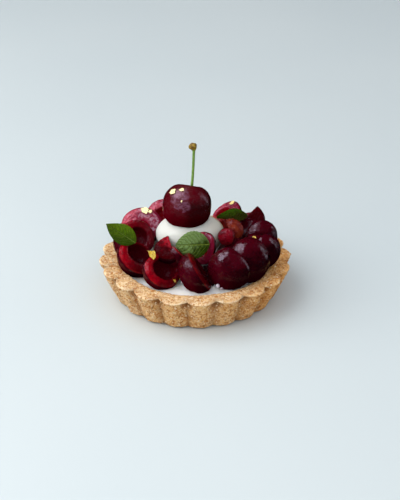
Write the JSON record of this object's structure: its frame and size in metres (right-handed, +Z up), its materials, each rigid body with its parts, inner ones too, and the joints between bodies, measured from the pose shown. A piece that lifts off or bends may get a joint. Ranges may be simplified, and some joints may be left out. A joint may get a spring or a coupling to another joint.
{
  "type": "cherry tart",
  "caption": "Round fluted shortcrust tart filled with cream, with a scoop of cream, pitted cherry halves, mint leaves and a whole cherry on its stalk.",
  "frame": {"origin": "middle of the flat underside of the crust", "axes": "+Z up, -Y towards the side that shows in the front view, +X to its right"},
  "size_m": [0.0998, 0.0998, 0.078],
  "materials": {
    "pastry": "dry, crumbly baked crust with browned specks",
    "cream": "smooth whipped cream with a soft satin sheen",
    "cherry_skin": "glossy, very dark red cherry skin",
    "cherry_flesh": "wet, translucent deep red cut cherry",
    "stalk": "smooth green stalk with a brown woody knob",
    "leaf": "veined mint leaf, satin",
    "gold_leaf": "crumpled flakes of edible gold leaf"
  },
  "bodies": {
    "root": {"pastry_shell": "pastry", "cream_filling": "cream", "cream_scoop": "cream", "cherry_whole": "cherry_skin", "cherry_stalk": "stalk", "half_front_left": "cherry_skin", "half_front_middle": "cherry_skin", "half_front_right": "cherry_skin", "half_left_front": "cherry_skin", "half_right_front": "cherry_skin", "half_right_middle": "cherry_skin", "half_right_outer": "cherry_skin", "half_right_back": "cherry_skin", "half_back_right_low": "cherry_skin", "half_back_right": "cherry_skin", "half_left_inner": "cherry_skin", "half_left_back": "cherry_skin", "half_back_left": "cherry_skin", "half_left_outer": "cherry_skin", "half_front_upright": "cherry_skin", "half_front_inner": "cherry_skin", "half_back_middle": "cherry_skin", "half_inner_right": "cherry_skin", "half_inner_low": "cherry_skin", "half_back_inner_left": "cherry_skin", "half_back_inner_right": "cherry_skin", "half_back_right_outer": "cherry_skin", "small_round_right": "cherry_flesh", "quarter_back_right": "cherry_flesh", "quarter_front_left": "cherry_flesh", "quarter_inner_right": "cherry_flesh", "leaf_front": "leaf", "leaf_left": "leaf", "leaf_right": "leaf"}
  },
  "joints": []
}
